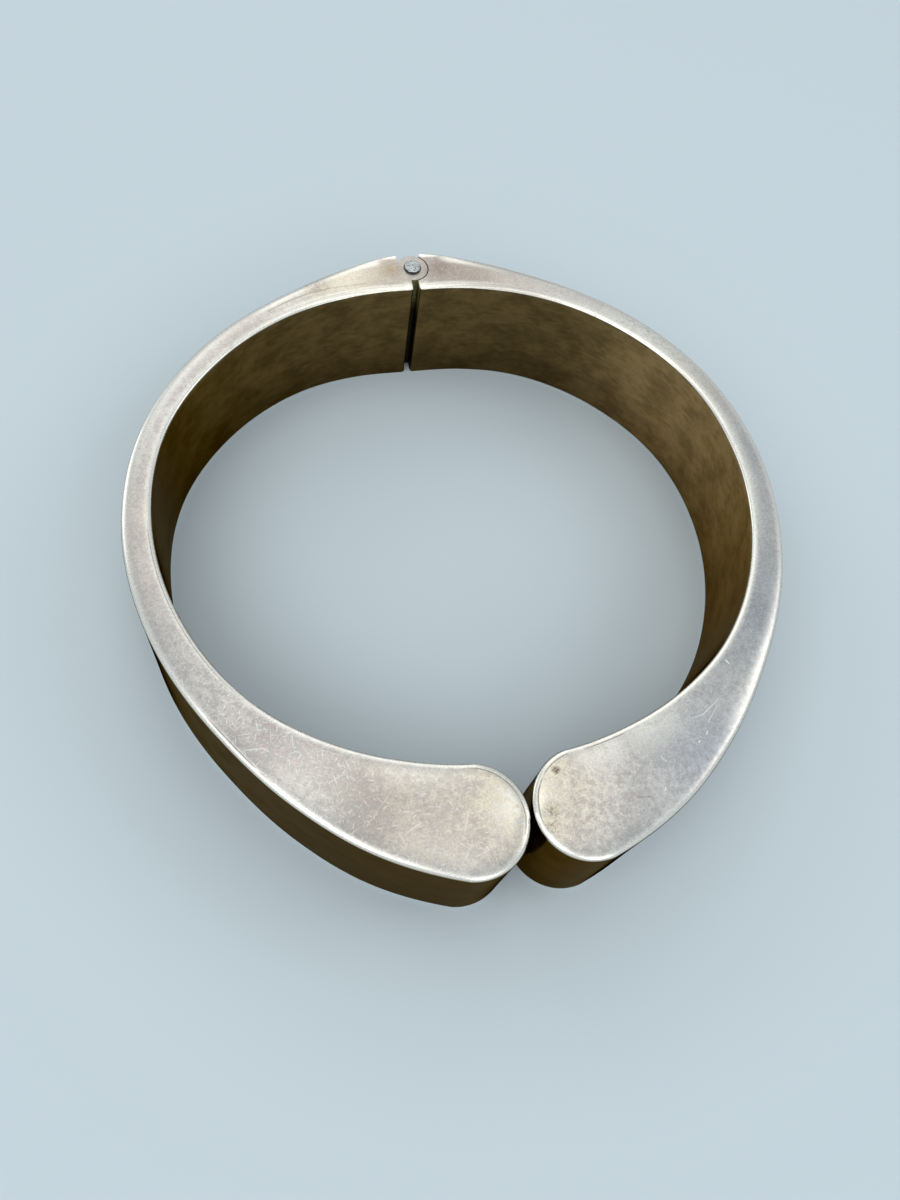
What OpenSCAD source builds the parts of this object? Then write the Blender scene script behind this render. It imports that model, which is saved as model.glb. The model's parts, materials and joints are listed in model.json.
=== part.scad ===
// Hinged cuff bracelet of hollow sheet silver, lying on its side edge.
// Two mirror-image arms turn about one pin at the back and nearly meet at the front.
// +Z is up along the pin, +Y is the hinge and -Y the round ends, all in millimetres.

/* [Size] */
// Inside width of the closed bracelet, side to side
inner_w = 60; // [56:0.5:66]
// Height of the cuff, along the hinge pin
cuff_h = 14.4; // [12:0.2:18]
// Gap between the two round ends at the front
front_gap = 0.3; // [0.2:0.1:2]
// Rounding of the long polished edges
edge_r = 0.4; // [0.2:0.05:0.5]
// Thickness of the sheet that the hollow arms are made of
sheet_t = 0.8; // [0.6:0.05:0.85]

/* [Hinge] */
// Diameter of the hinge knuckles
knuckle_d = 3.4; // [3:0.1:3.6]
// Share of the height that the middle knuckle takes
middle_share = 0.5; // [0.3:0.05:0.6]
// Diameter of the hinge pin
pin_d = 1.5; // [1.2:0.1:1.8]
// Diameter of the riveted head of the pin
head_d = 1.8; // [1.8:0.1:2.2]
// Height of the pin's head above the knuckle
head_h = 0.35; // [0.2:0.05:0.6]
// Width of the slot between the two arms, inside the hinge
slot_w = 0.7; // [0.5:0.05:1]

/* [Clearances] */
// Gap between a knuckle and the hollow that it turns in
socket_gap = 0.12; // [0.1:0.01:0.15]
// Gap between the end faces of two knuckles
knuckle_gap = 0.1; // [0.06:0.01:0.2]
// Gap round the pin in the knuckle that turns on it
running_gap = 0.05; // [0.02:0.01:0.08]
// Gap round the pin in the knuckles that hold it
held_gap = 0.02; // [0.01:0.01:0.03]

/* [Hidden] */

// The middle line of one arm, from the hinge to the round end. TURN is the angle from the
// hinge about the middle of the opening, REACH the distance from that middle, and BAND the
// width of the face there, all for a bracelet of table_w inside.
TURN = 0;
REACH = 1;
BAND = 2;
table_w = 60;
end_reach = 32.95;
end_band = 10.3;
end_turn = 180 - asin((end_band / 2 + front_gap / 2) / end_reach);
rows = [
    [0, 28.8, 5.2],
    [14, 28.8, 4.1],
    [30, 29.15, 2.8],
    [50, 30.15, 2.55],
    [70, 31.15, 2.5],
    [90, 31.5, 2.85],
    [110, 31.6, 3.3],
    [130, 31.75, 4.3],
    [145, 32.05, 6.4],
    [158, 32.5, 8.6],
    [end_turn, end_reach, end_band]
];
last = len(rows) - 1;
grow = inner_w / table_w;

// Steps along an arm and round its end
arm_steps = 56;
end_steps = 19;

// The pin stands this far outside the middle line of the arms
pin_shift = 0.45;
// Where the arm's back corner stands beside its own knuckle
shoulder_x = 1.5;
// Where the lip of an arm ends over the other arm's knuckle
lip_x = 1.0;
// Where the hollow inside an arm begins, past the solid end at the hinge
hollow_turn = 12;

// A smooth curve through one column of the table
function slope(i, column) =
    i == 0 ? 0 :
    i == last ? (rows[i][column] - rows[i - 1][column]) / (rows[i][TURN] - rows[i - 1][TURN]) :
    (rows[i + 1][column] - rows[i - 1][column]) / (rows[i + 1][TURN] - rows[i - 1][TURN]);
function row_before(turn, i = 0) =
    i >= last - 1 || turn < rows[i + 1][TURN] ? i : row_before(turn, i + 1);
function smooth(turn, column) =
    let (i = row_before(turn))
    let (step = rows[i + 1][TURN] - rows[i][TURN])
    let (u = (turn - rows[i][TURN]) / step)
    (2 * u ^ 3 - 3 * u ^ 2 + 1) * rows[i][column]
    + (u ^ 3 - 2 * u ^ 2 + u) * step * slope(i, column)
    + (3 * u ^ 2 - 2 * u ^ 3) * rows[i + 1][column]
    + (u ^ 3 - u ^ 2) * step * slope(i + 1, column);

// The middle line of the right arm, seen from above, and the way out of the opening across it
function middle(turn) = grow * smooth(turn, REACH) * [sin(turn), cos(turn)];
function along(turn) =
    let (ahead = middle(turn + 0.1) - middle(turn - 0.1))
    ahead / norm(ahead);
function outwards(turn) = [-along(turn)[1], along(turn)[0]];
function half_band(turn) = grow * smooth(turn, BAND) / 2;

// The outline of the right arm, drawn in by inset: inner edge, round end, outer edge
function arm_outline(inset, first_turn = 0) =
    let (turns = [for (i = [0 : arm_steps]) first_turn + (end_turn - first_turn) * i / arm_steps])
    let (end = middle(end_turn))
    let (end_r = half_band(end_turn) - inset)
    concat(
        [for (t = turns) middle(t) - outwards(t) * (half_band(t) - inset)],
        [for (k = [1 : end_steps - 1])
            let (a = -90 + 180 * k / end_steps)
            end + end_r * (cos(a) * along(end_turn) + sin(a) * outwards(end_turn))],
        [for (i = [arm_steps : -1 : 0])
            let (t = turns[i])
            middle(t) + outwards(t) * (half_band(t) - inset)]
    );

// The bracelet is centred on its own box, so the opening's middle moves along Y by this much
outline = arm_outline(0);
back_y = max([for (p = outline) p[1]]);
front_y = min([for (p = outline) p[1]]);
shift_y = -(back_y + front_y) / 2;
pin_y = middle(0)[1] + pin_shift + shift_y;

// Heights of the three knuckles, from the lowest up
end_share = (1 - middle_share) / 2;
z_levels = [0, cuff_h * end_share, cuff_h * (1 - end_share), cuff_h];
LEFT_KNUCKLES = [0, 2];
RIGHT_KNUCKLES = [1];

// Cuts run on by this much past the faces that they open
past = 1;
function cut_low(level) = z_levels[level] - (level == 0 ? past : knuckle_gap / 2);
function cut_high(level) = z_levels[level + 1] + (level == 2 ? past : knuckle_gap / 2);

// How far the slot runs in from the pin, right through to the opening
slot_reach = pin_shift + half_band(0) + past;

// Inset and height of the rings that round an edge, from the face to the wall
EDGE_STEPS = 3;
edge_rings = [for (k = [0 : EDGE_STEPS])
    [edge_r * (1 - sin(90 * k / EDGE_STEPS)), edge_r * (1 - cos(90 * k / EDGE_STEPS))]];
arm_rings = concat(
    edge_rings,
    [for (k = [EDGE_STEPS : -1 : 0]) [edge_rings[k][0], cuff_h - edge_rings[k][1]]]
);

// The right arm as one closed skin of rings, each an outline at its own height
module arm_skin() {
    n = len(outline);
    points = [for (ring = arm_rings) for (p = arm_outline(ring[0])) [p[0], p[1] + shift_y, ring[1]]];
    top = (len(arm_rings) - 1) * n;
    sides = [for (r = [0 : len(arm_rings) - 2]) for (i = [0 : n - 1])
        let (a = r * n + i)
        let (b = r * n + (i + 1) % n)
        each [[a, b + n, b], [a, a + n, b + n]]];
    bottom_face = [for (i = [0 : n / 2 - 2])
        let (j = n - 1 - i)
        each [[i, i + 1, j - 1], [i, j - 1, j]]];
    top_face = [for (i = [0 : n / 2 - 2])
        let (a = top + i)
        let (b = top + n - 1 - i)
        each [[a, b, b - 1], [a, b - 1, a + 1]]];
    polyhedron(points, concat(sides, bottom_face, top_face));
}

// The sealed hollow that the sheet encloses
module arm_hollow() {
    translate([0, shift_y, sheet_t])
        linear_extrude(cuff_h - 2 * sheet_t)
            polygon(arm_outline(sheet_t, hollow_turn));
}

// A block cut away behind the pin, along one knuckle, which leaves the arm from x on
module back_cut(x, level) {
    translate([-past, pin_y, cut_low(level)])
        cube([x + past, knuckle_d, cut_high(level) - cut_low(level)]);
}

// The slot between the two arms, from the pin in to the opening
module slot() {
    translate([-past, pin_y - slot_reach, -past])
        cube([slot_w / 2 + past, slot_reach, cuff_h + 2 * past]);
}

// Room for the other arm's knuckle, with the lip that reaches over it
module socket(level) {
    translate([0, pin_y, cut_low(level)])
        cylinder(d = knuckle_d + 2 * socket_gap, h = cut_high(level) - cut_low(level), $fn = 96);
    back_cut(lip_x, level);
}

// The arm's own knuckle, chamfered where it comes out at a face
module knuckle(level) {
    bevel = edge_r / 2;
    z_low = z_levels[level] + (level == 0 ? 0 : knuckle_gap / 2);
    z_high = z_levels[level + 1] - (level == 2 ? 0 : knuckle_gap / 2);
    low_bevel = level == 0 ? bevel : 0;
    high_bevel = level == 2 ? bevel : 0;
    r = knuckle_d / 2;
    translate([0, pin_y, 0])
        rotate_extrude($fn = 96)
            polygon([
                [0, z_low],
                [r - low_bevel, z_low],
                [r, z_low + low_bevel],
                [r, z_high - high_bevel],
                [r - high_bevel, z_high],
                [0, z_high]
            ]);
}

// One half of the bracelet, drawn on the right side
module half(own, others, pin_gap) {
    difference() {
        union() {
            difference() {
                arm_skin();
                arm_hollow();
                slot();
                for (level = own)
                    back_cut(shoulder_x, level);
                for (level = others)
                    socket(level);
            }
            for (level = own)
                knuckle(level);
        }
        translate([0, pin_y, -past])
            cylinder(d = pin_d + 2 * pin_gap, h = cuff_h + 2 * past, $fn = 64);
    }
}

module left_half() {
    color([0.80, 0.79, 0.77])
        mirror([1, 0, 0])
            half(LEFT_KNUCKLES, RIGHT_KNUCKLES, held_gap);
}

module right_half() {
    color([0.84, 0.83, 0.81])
        half(RIGHT_KNUCKLES, LEFT_KNUCKLES, running_gap);
}

// The pin, flush below and riveted over the upper knuckle in a low dome
module hinge_pin() {
    lift = held_gap;
    crown = (head_d ^ 2 / 4 + head_h ^ 2) / (2 * head_h);
    color([0.62, 0.64, 0.67])
        translate([0, pin_y, 0])
            union() {
                translate([0, 0, lift])
                    cylinder(d = pin_d, h = cuff_h, $fn = 64);
                intersection() {
                    translate([0, 0, cuff_h + lift])
                        cylinder(d = head_d, h = head_h, $fn = 64);
                    translate([0, 0, cuff_h + lift + head_h - crown])
                        sphere(r = crown, $fn = 96);
                }
            }
}

left_half();
right_half();
hinge_pin();
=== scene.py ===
"""Hinged silver cuff: the looks of a bracelet of two hollow arms that turn on one pin.

Shapes are worked out in millimetres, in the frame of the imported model, and each finished mesh is
brought to metres at the end. +Z is up along the hinge pin, +Y is the hinge, -Y the round ends.
"""

import json
import math
from collections import namedtuple
from functools import reduce

import bmesh
import bpy
from mathutils import Matrix, Vector
from mathutils.kdtree import KDTree


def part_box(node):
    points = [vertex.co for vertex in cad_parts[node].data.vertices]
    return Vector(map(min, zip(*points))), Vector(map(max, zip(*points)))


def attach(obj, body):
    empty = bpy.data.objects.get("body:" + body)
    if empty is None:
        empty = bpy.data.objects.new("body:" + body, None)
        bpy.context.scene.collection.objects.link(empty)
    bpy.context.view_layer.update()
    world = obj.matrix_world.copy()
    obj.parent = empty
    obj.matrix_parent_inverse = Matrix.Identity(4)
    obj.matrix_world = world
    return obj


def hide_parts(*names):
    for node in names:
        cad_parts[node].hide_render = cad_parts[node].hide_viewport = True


bl_info = {
    "name": "Hinged silver cuff",
    "version": (1, 0, 0),
    "blender": (4, 5, 0),
    "location": "3D View > Sidebar > Cuff",
    "description": "Builds a hinged cuff bracelet of old silver round its packed model",
    "category": "Add Mesh",
}

MM = 0.001
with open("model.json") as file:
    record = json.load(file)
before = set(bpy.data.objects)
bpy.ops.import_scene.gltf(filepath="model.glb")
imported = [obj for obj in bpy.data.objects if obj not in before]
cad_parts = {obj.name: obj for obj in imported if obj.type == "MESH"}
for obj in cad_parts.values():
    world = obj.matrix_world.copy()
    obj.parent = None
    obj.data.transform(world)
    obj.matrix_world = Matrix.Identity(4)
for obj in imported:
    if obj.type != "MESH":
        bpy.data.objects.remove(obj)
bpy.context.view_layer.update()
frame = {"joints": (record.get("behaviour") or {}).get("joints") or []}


def in_mm(point):
    return Vector(point) / MM


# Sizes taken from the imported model
ARM_LOW, ARM_HIGH = map(in_mm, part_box("right_half"))
PIN_LOW, PIN_HIGH = map(in_mm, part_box("hinge_pin"))
PIN = in_mm(frame["joints"][0]["pos_m"])
CUFF_H = ARM_HIGH.z - ARM_LOW.z
HEAD_R = (PIN_HIGH.x - PIN_LOW.x) / 2

# The middle line of one arm, from the hinge to the round end: turn is the angle from the hinge
# about the middle of the opening, reach the distance from that middle, band the face's width
Station = namedtuple("Station", "turn reach band")
END_REACH = 32.95
END_BAND = 10.3
FRONT_GAP = 0.3
END_TURN = 180 - math.degrees(math.asin((END_BAND + FRONT_GAP) / 2 / END_REACH))
STATIONS = [
    Station(0, 28.8, 5.2),
    Station(14, 28.8, 4.1),
    Station(30, 29.15, 2.8),
    Station(50, 30.15, 2.55),
    Station(70, 31.15, 2.5),
    Station(90, 31.5, 2.85),
    Station(110, 31.6, 3.3),
    Station(130, 31.75, 4.3),
    Station(145, 32.05, 6.4),
    Station(158, 32.5, 8.6),
    Station(END_TURN, END_REACH, END_BAND),
]
ARM_STEPS = 170
END_STEPS = 44
TURNS = [END_TURN * i / ARM_STEPS for i in range(ARM_STEPS + 1)]

# How the hinge is cut. The middle knuckle takes the middle share of the height
KNUCKLE_R = 1.74
SOCKET_R = 1.82
SLOT_X = 0.35
SHOULDER_X = 1.5
LIP_X = 1.0
KNUCKLE_GAP = 0.1
MIDDLE_SHARE = 0.5

# Radii of the pin's shank, of the bore that holds it and of the one that turns on it
SHANK_R = 0.75
HELD_R = 0.77
RUNNING_R = 0.8
BORE_STEPS = 48

# How far to each side of a corner at the hinge its rounding reaches
BACK_CORNER = 0.35
SLOT_CORNER = 0.38
KNUCKLE_CORNER = 0.12

# A shape that is joined on keeps a sliver clear of the faces beside it and roots this deep in the
# arm, and a cut runs this far past the faces that it opens
SLIVER = 0.01
ROOT = 1.0
PAST = 1.0

# The worn edge of a face, from the wall inwards: how far in, and how far below the face
Rim = namedtuple("Rim", "inset drop")
RIM = [
    Rim(0, 0.62),
    Rim(0.03, 0.48),
    Rim(0.09, 0.36),
    Rim(0.19, 0.265),
    Rim(0.33, 0.195),
    Rim(0.52, 0.135),
    Rim(0.80, 0.080),
    Rim(1.15, 0.038),
    Rim(1.60, 0.010),
    Rim(2.00, 0),
]
RIM_FULL = RIM[-1].inset
# Shares of that width: the most on a face's inner and outer edge, and the least at the hinge
INNER_RIM = 0.62
OUTER_RIM = 1.0
KNUCKLE_RIM = 0.05
SLOT_RIM = 0.11
# Least half width of the flat between two rims
FLAT_HALF = 0.08
# From where to where the knuckle's rim turns into the slot's, away from the pin, and the slot's
# into the arm's, away from the slot
KNUCKLE_TO_SLOT = (2.1, 2.9)
SLOT_TO_ARM = (1.4, 13)
WALL_ROWS = 9
WALL_MARGIN = 1.1

# How shallow dents are laid out in a wall
Dents = namedtuple("Dents", "depth size seed")
NO_DENTS = Dents(0.0, 6.0, 0.0)

# Points closer than this are made one, in a new skin and in a finished piece
SKIN_WELD = 0.0005
WELD = 0.0004
# Edges that fold by more than this stay sharp, and corners are drawn in as if no sharper than this
SHARP = math.radians(35)
SHARPEST_COSINE = 0.7


# The curve through the table of stations


def slope(index, column):
    last = len(STATIONS) - 1
    if index == 0:
        return 0.0
    before = STATIONS[index - 1]
    after = STATIONS[min(index + 1, last)]
    return (getattr(after, column) - getattr(before, column)) / (after.turn - before.turn)


def along_table(turn, column):
    """One column of the table at any turn, on a smooth curve through its rows."""
    index = 0
    while index < len(STATIONS) - 2 and turn >= STATIONS[index + 1].turn:
        index += 1
    here, there = STATIONS[index], STATIONS[index + 1]
    step = there.turn - here.turn
    u = (turn - here.turn) / step
    return (
        (2 * u**3 - 3 * u**2 + 1) * getattr(here, column)
        + (u**3 - 2 * u**2 + u) * step * slope(index, column)
        + (3 * u**2 - 2 * u**3) * getattr(there, column)
        + (u**3 - u**2) * step * slope(index + 1, column)
    )


def middle(turn):
    angle = math.radians(turn)
    return along_table(turn, "reach") * Vector((math.sin(angle), math.cos(angle)))


def ahead(turn):
    return (middle(turn + 0.1) - middle(turn - 0.1)).normalized()


def outwards(turn):
    along = ahead(turn)
    return Vector((-along.y, along.x))


def edge(turn, side):
    """A point of the arm's inner (-1) or outer (1) edge."""
    return middle(turn) + outwards(turn) * side * along_table(turn, "band") / 2


# The table is drawn about the middle of the opening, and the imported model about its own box
TABLE_BACK = max(edge(turn, 1).y for turn in TURNS)
TABLE_SIDE = max(edge(turn, 1).x for turn in TURNS)
GROW = ARM_HIGH.x / TABLE_SIDE
SHIFT = Vector((0, ARM_HIGH.y - TABLE_BACK * GROW))


def placed(point):
    return point * GROW + SHIFT


def edge_line(side):
    """The arm's inner (-1) or outer (1) edge, from the hinge to the round end."""
    return [placed(edge(turn, side)) for turn in TURNS]


# Outlines of the right arm and of the pieces of its hinge, anticlockwise, seen from above


def arc(centre, radius, first, last, steps):
    """Points of a round stretch, angles in degrees from +X."""
    angles = [math.radians(first + (last - first) * i / steps) for i in range(steps + 1)]
    return [centre + radius * Vector((math.cos(a), math.sin(a))) for a in angles]


def beyond(points, x):
    """The part of a line of points past x, from its crossing on."""
    first = next(i for i, p in enumerate(points) if p.x > x)
    before, after = points[first - 1], points[first]
    crossing = before.lerp(after, (x - before.x) / (after.x - before.x))
    return [crossing, *points[first:]]


def walk(loop, start, step, distance):
    """Goes round a closed loop from one of its points, and returns where that ends."""
    at, left = start, distance
    while True:
        following = (at + step) % len(loop)
        length = (loop[following] - loop[at]).length
        if length >= left:
            return following, loop[at].lerp(loop[following], left / length)
        at, left = following, left - length


def softened(loop, corner, reach, steps=6):
    """The loop with the corner nearest to a point rounded off, from reach before it to reach after."""
    at = min(range(len(loop)), key=lambda i: (loop[i] - corner).length)
    back, start = walk(loop, at, -1, reach)
    front, end = walk(loop, at, 1, reach)
    curve = [
        start * (1 - u) ** 2 + loop[at] * 2 * u * (1 - u) + end * u**2
        for u in (i / steps for i in range(steps + 1))
    ]
    kept = []
    i = front
    while i != back:
        kept.append(loop[i])
        i = (i + 1) % len(loop)
    return [*curve, *kept, loop[back]]


def at_x(radius, x):
    """How far from the pin's axis, along Y, a circle round it crosses x."""
    return math.sqrt(radius**2 - x**2)


def hinge_end(own_knuckle):
    """Where the arm's back corner is along X, and the round part from there to the slot."""
    if own_knuckle:
        back_x, radius, turned, steps = SHOULDER_X, KNUCKLE_R, 360, 40
    else:
        back_x, radius, turned, steps = LIP_X, SOCKET_R, 0, 24
    first = math.degrees(math.atan2(at_x(radius, back_x), back_x))
    last = math.degrees(math.atan2(-at_x(radius, SLOT_X), SLOT_X)) + turned
    return back_x, arc(PIN.xy, radius, first, last, steps)


def arm_outline(own_knuckle):
    """The whole face of one arm, with the end that it has at the top of the hinge."""
    back_x, round_part = hinge_end(own_knuckle)
    inner = beyond(edge_line(-1), SLOT_X)
    outer = beyond(edge_line(1), back_x)
    way = ahead(END_TURN)
    facing = math.degrees(math.atan2(way.y, way.x))
    radius = GROW * END_BAND / 2
    round_end = arc(placed(middle(END_TURN)), radius, facing - 90, facing + 90, END_STEPS)[1:-1]
    loop = [*reversed(outer), *round_part, *inner, *round_end]
    loop = softened(loop, outer[0], BACK_CORNER)
    loop = softened(loop, inner[0], SLOT_CORNER, 9)
    return softened(loop, round_part[-1], KNUCKLE_CORNER)


def lip_outline():
    """The lip over the middle knuckle, a sliver inside the arm's own outer wall."""
    outer = [p - Vector((0, SLIVER)) for p in edge_line(1)]
    outer = [p for p in beyond(outer, LIP_X) if p.x < SHOULDER_X + ROOT]
    base_y = PIN.y + KNUCKLE_R / 3
    return [Vector((outer[-1].x, base_y)), *reversed(outer), Vector((LIP_X, base_y))]


def web_outline():
    """What joins the middle knuckle to its arm, a sliver clear of the faces of slot and shoulder."""
    slot_x, shoulder_x, root_x = SLOT_X + SLIVER, SHOULDER_X + SLIVER, SHOULDER_X + ROOT
    low, high = PIN.y - KNUCKLE_R * 1.3, PIN.y + KNUCKLE_R * 0.8
    corners = [(slot_x, low), (root_x, low), (root_x, high)]
    corners += [(shoulder_x, high), (shoulder_x, PIN.y), (slot_x, PIN.y)]
    return [Vector(c) for c in corners]


def box_outline(low_x, high_x, low_y, high_y):
    corners = ((low_x, low_y), (high_x, low_y), (high_x, high_y), (low_x, high_y))
    return [Vector(c) for c in corners]


def circle(radius, steps=96):
    return arc(PIN.xy, radius, 0, 360, steps)[:-1]


# Where a point lies on an arm


def smooth_step(low, high, value):
    u = min(max((value - low) / (high - low), 0), 1)
    return u * u * (3 - 2 * u)


def across(point):
    """-1 at the arm's inner edge and 1 at its outer one, with half the width that the face has there."""
    spot = (point - SHIFT) / GROW
    turn = min(max(math.degrees(math.atan2(abs(spot.x), spot.y)), 0), END_TURN)
    half = along_table(turn, "band") / 2
    side = (spot.length - along_table(turn, "reach")) / half
    return min(max(side, -1), 1), half


def rim_share(point):
    """How much of the rim's full width the edge has here: least at the knuckles, most at the ends."""
    side, half = across(point)
    widest = min(INNER_RIM if side < 0 else OUTER_RIM, (half - FLAT_HALF) / RIM_FULL)
    if point.y < 0:
        return widest
    past_knuckle = smooth_step(*KNUCKLE_TO_SLOT, (point - PIN.xy).length)
    least = KNUCKLE_RIM + (SLOT_RIM - KNUCKLE_RIM) * past_knuckle
    return least + (widest - least) * smooth_step(*SLOT_TO_ARM, abs(point.x))


# Nodes from Python expressions


def found(sockets, key):
    if isinstance(key, int):
        return sockets[key]
    for socket in sockets:
        if socket.identifier == key or (socket.name == key and socket.enabled):
            return socket
    raise KeyError(f"no socket {key!r} among {[s.name for s in sockets]}")


def operator_pair(name):
    """What an operator does with a wire on its left, and with one on its right."""

    def with_right(self, other):
        return self.board.maths(name, self, other)

    def with_left(self, other):
        return self.board.maths(name, other, self)

    return with_right, with_left


class Wire:
    """A node's output in Python maths: each operation adds the node that does it."""

    def __init__(self, board, socket):
        self.board = board
        self.socket = socket

    def __getitem__(self, key):
        return Wire(self.board, found(self.socket.node.outputs, key))

    def __abs__(self):
        return self.board.maths("ABSOLUTE", self)

    __add__, __radd__ = operator_pair("ADD")
    __sub__, __rsub__ = operator_pair("SUBTRACT")
    __mul__, __rmul__ = operator_pair("MULTIPLY")
    __truediv__, __rtruediv__ = operator_pair("DIVIDE")
    __mod__, __rmod__ = operator_pair("MODULO")


class Board:
    """A node tree that is filled from Python."""

    def __init__(self, tree):
        self.tree = tree

    def node(self, kind, settings=None, inputs=None, output=0):
        """Adds a node, with its settings first and then the values or links of its sockets."""
        node = self.tree.nodes.new(kind)
        for name, value in (settings or {}).items():
            setattr(node, name, value)
        for key, value in (inputs or {}).items():
            socket = found(node.inputs, key)
            if isinstance(value, Wire):
                self.tree.links.new(value.socket, socket)
            elif socket.type == "RGBA":
                socket.default_value = (*value, 1.0)
            else:
                socket.default_value = value
        if not node.outputs:
            return None
        return Wire(self, found(node.outputs, output))

    def maths(self, operation, *values):
        """A Math node, or a Vector Math node where one of the values is a vector."""
        vectors = [
            v.socket.type == "VECTOR" if isinstance(v, Wire) else hasattr(v, "__len__") for v in values
        ]
        kind = "ShaderNodeVectorMath" if any(vectors) else "ShaderNodeMath"
        inputs = dict(enumerate(values))
        if operation == "MULTIPLY" and any(vectors) and not all(vectors):
            vector, number = values if vectors[0] else reversed(values)
            operation, inputs = "SCALE", {0: vector, "Scale": number}
        return self.node(kind, {"operation": operation}, inputs)

    def vector_maths(self, operation, first, second):
        """A number that comes from two vectors."""
        inputs = {0: first, 1: second}
        return self.node("ShaderNodeVectorMath", {"operation": operation}, inputs, "Value")

    def vector(self, x, y, z):
        return self.node("ShaderNodeCombineXYZ", None, {"X": x, "Y": y, "Z": z})

    def smooth(self, value, low, high):
        """0 below low, 1 above high, and smooth between them. Low may be the larger."""
        inputs = {"Value": value, "From Min": low, "From Max": high}
        return self.node("ShaderNodeMapRange", {"interpolation_type": "SMOOTHSTEP"}, inputs)

    def blend(self, share, first, second, way="MIX"):
        """The first colour mixed with the second, as far as share says."""
        settings = {"data_type": "RGBA", "blend_type": way}
        inputs = {"Factor_Float": share, "A_Color": first, "B_Color": second}
        return self.node("ShaderNodeMix", settings, inputs, "Result_Color")

    def tinted(self, colour, tint, share):
        """A colour multiplied by a tint, as far as share says."""
        return self.blend(share, colour, tint, "MULTIPLY")

    def noise(self, place, size, detail=2.0, roughness=0.5):
        """Cloudy noise about 0.5, whose clouds are about size across."""
        inputs = {"Vector": place, "Scale": 1 / size, "Detail": detail, "Roughness": roughness}
        return self.node("ShaderNodeTexNoise", None, inputs)


# One tree makes every solid: an outline swept over rows that draw it in and lift it
SKIN_TREE = "skin_from_outline"
SKIN_INPUTS = {
    "Outline": "Geometry",
    "Profile": "Object",
    "Capped": "Bool",
    "Dent depth": "Float",
    "Dent size": "Float",
    "Seed": "Float",
    "Material": "Material",
}


def skin_tree():
    """Outline points, repeated for each row of a profile, joined as walls and closed with caps."""
    tree = bpy.data.node_groups.new(SKIN_TREE, "GeometryNodeTree")
    for name, kind in SKIN_INPUTS.items():
        tree.interface.new_socket(name=name, in_out="INPUT", socket_type=f"NodeSocket{kind}")
    tree.interface.new_socket(name="Solid", in_out="OUTPUT", socket_type="NodeSocketGeometry")
    board = Board(tree)
    given = board.node("NodeGroupInput")
    outline = given["Outline"]
    profile = board.node("GeometryNodeObjectInfo", None, {"Object": given["Profile"]}, "Geometry")
    points = board.node("GeometryNodeAttributeDomainSize", None, {"Geometry": outline}, "Point Count")
    rows = board.node("GeometryNodeAttributeDomainSize", None, {"Geometry": profile}, "Point Count")

    def named(name, kind):
        return board.node("GeometryNodeInputNamedAttribute", {"data_type": kind}, {"Name": name})

    def sampled(geometry, value, index, kind):
        inputs = {"Geometry": geometry, "Value": value, "Index": index}
        return board.node("GeometryNodeSampleIndex", {"data_type": kind}, inputs)

    def moved(geometry, place):
        return board.node("GeometryNodeSetPosition", None, {"Geometry": geometry, "Position": place})

    def joined(*parts):
        whole = board.node("GeometryNodeJoinGeometry")
        for part in parts:
            tree.links.new(part.socket, whole.socket.node.inputs[0])
        return whole

    def surface_point(column, row):
        """Where the outline's point of that column lies at that row of the profile."""
        place = sampled(outline, board.node("GeometryNodeInputPosition"), column, "FLOAT_VECTOR")
        inwards = sampled(outline, named("inwards", "FLOAT_VECTOR"), column, "FLOAT_VECTOR")
        share = sampled(outline, named("share", "FLOAT"), column, "FLOAT")
        step = sampled(profile, board.node("GeometryNodeInputPosition"), row, "FLOAT_VECTOR")
        wall = sampled(profile, named("wall", "FLOAT"), row, "FLOAT")
        parts = board.node("ShaderNodeSeparateXYZ", None, {"Vector": step})
        height = parts["Z"] + parts["Y"] * share
        on_skin = place + board.vector(0.0, 0.0, height)
        settings = {"noise_dimensions": "4D"}
        inputs = {"Vector": on_skin, "W": given["Seed"], "Scale": 1 / given["Dent size"], "Detail": 1.0}
        dent = board.node("ShaderNodeTexNoise", settings, inputs) * given["Dent depth"] * wall
        return on_skin + inwards * (parts["X"] * share + dent)

    grid = board.node("GeometryNodeMeshGrid", None, {"Vertices X": points + 1, "Vertices Y": rows})
    index = board.node("GeometryNodeInputIndex")
    column = board.maths("FLOOR", (index + 0.5) / rows)
    row = index - column * rows
    walls = moved(grid, surface_point(column % points, row))
    caps = []
    for end_row in (0, rows - 1):
        ring = board.node("GeometryNodeMeshCircle", {"fill_type": "NGON"}, {"Vertices": points})
        caps.append(moved(ring, surface_point(board.node("GeometryNodeInputIndex"), end_row)))
    inputs = {"Switch": given["Capped"], "True": joined(*caps)}
    shell = joined(walls, board.node("GeometryNodeSwitch", {"input_type": "GEOMETRY"}, inputs))
    inputs = {"Geometry": shell, "Distance": SKIN_WELD}
    solid = board.node("GeometryNodeMergeByDistance", None, inputs)
    solid = board.node("GeometryNodeRealizeInstances", None, {"Geometry": solid})
    inputs = {"Geometry": solid, "Material": given["Material"]}
    solid = board.node("GeometryNodeSetMaterial", None, inputs)
    board.node("NodeGroupOutput", None, {"Solid": solid})
    return tree


def row_object(name, points, **columns):
    """A scratch object whose points carry named columns of numbers or vectors."""
    mesh = bpy.data.meshes.new(name)
    mesh.from_pydata([tuple(p) for p in points], [], [])
    for column, values in columns.items():
        is_vector = hasattr(values[0], "__len__")
        kind, field = ("FLOAT_VECTOR", "vector") if is_vector else ("FLOAT", "value")
        attribute = mesh.attributes.new(column, kind, "POINT")
        flat = [x for v in values for x in v] if is_vector else values
        attribute.data.foreach_set(field, flat)
    piece = bpy.data.objects.new(name, mesh)
    bpy.context.scene.collection.objects.link(piece)
    return piece


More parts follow.
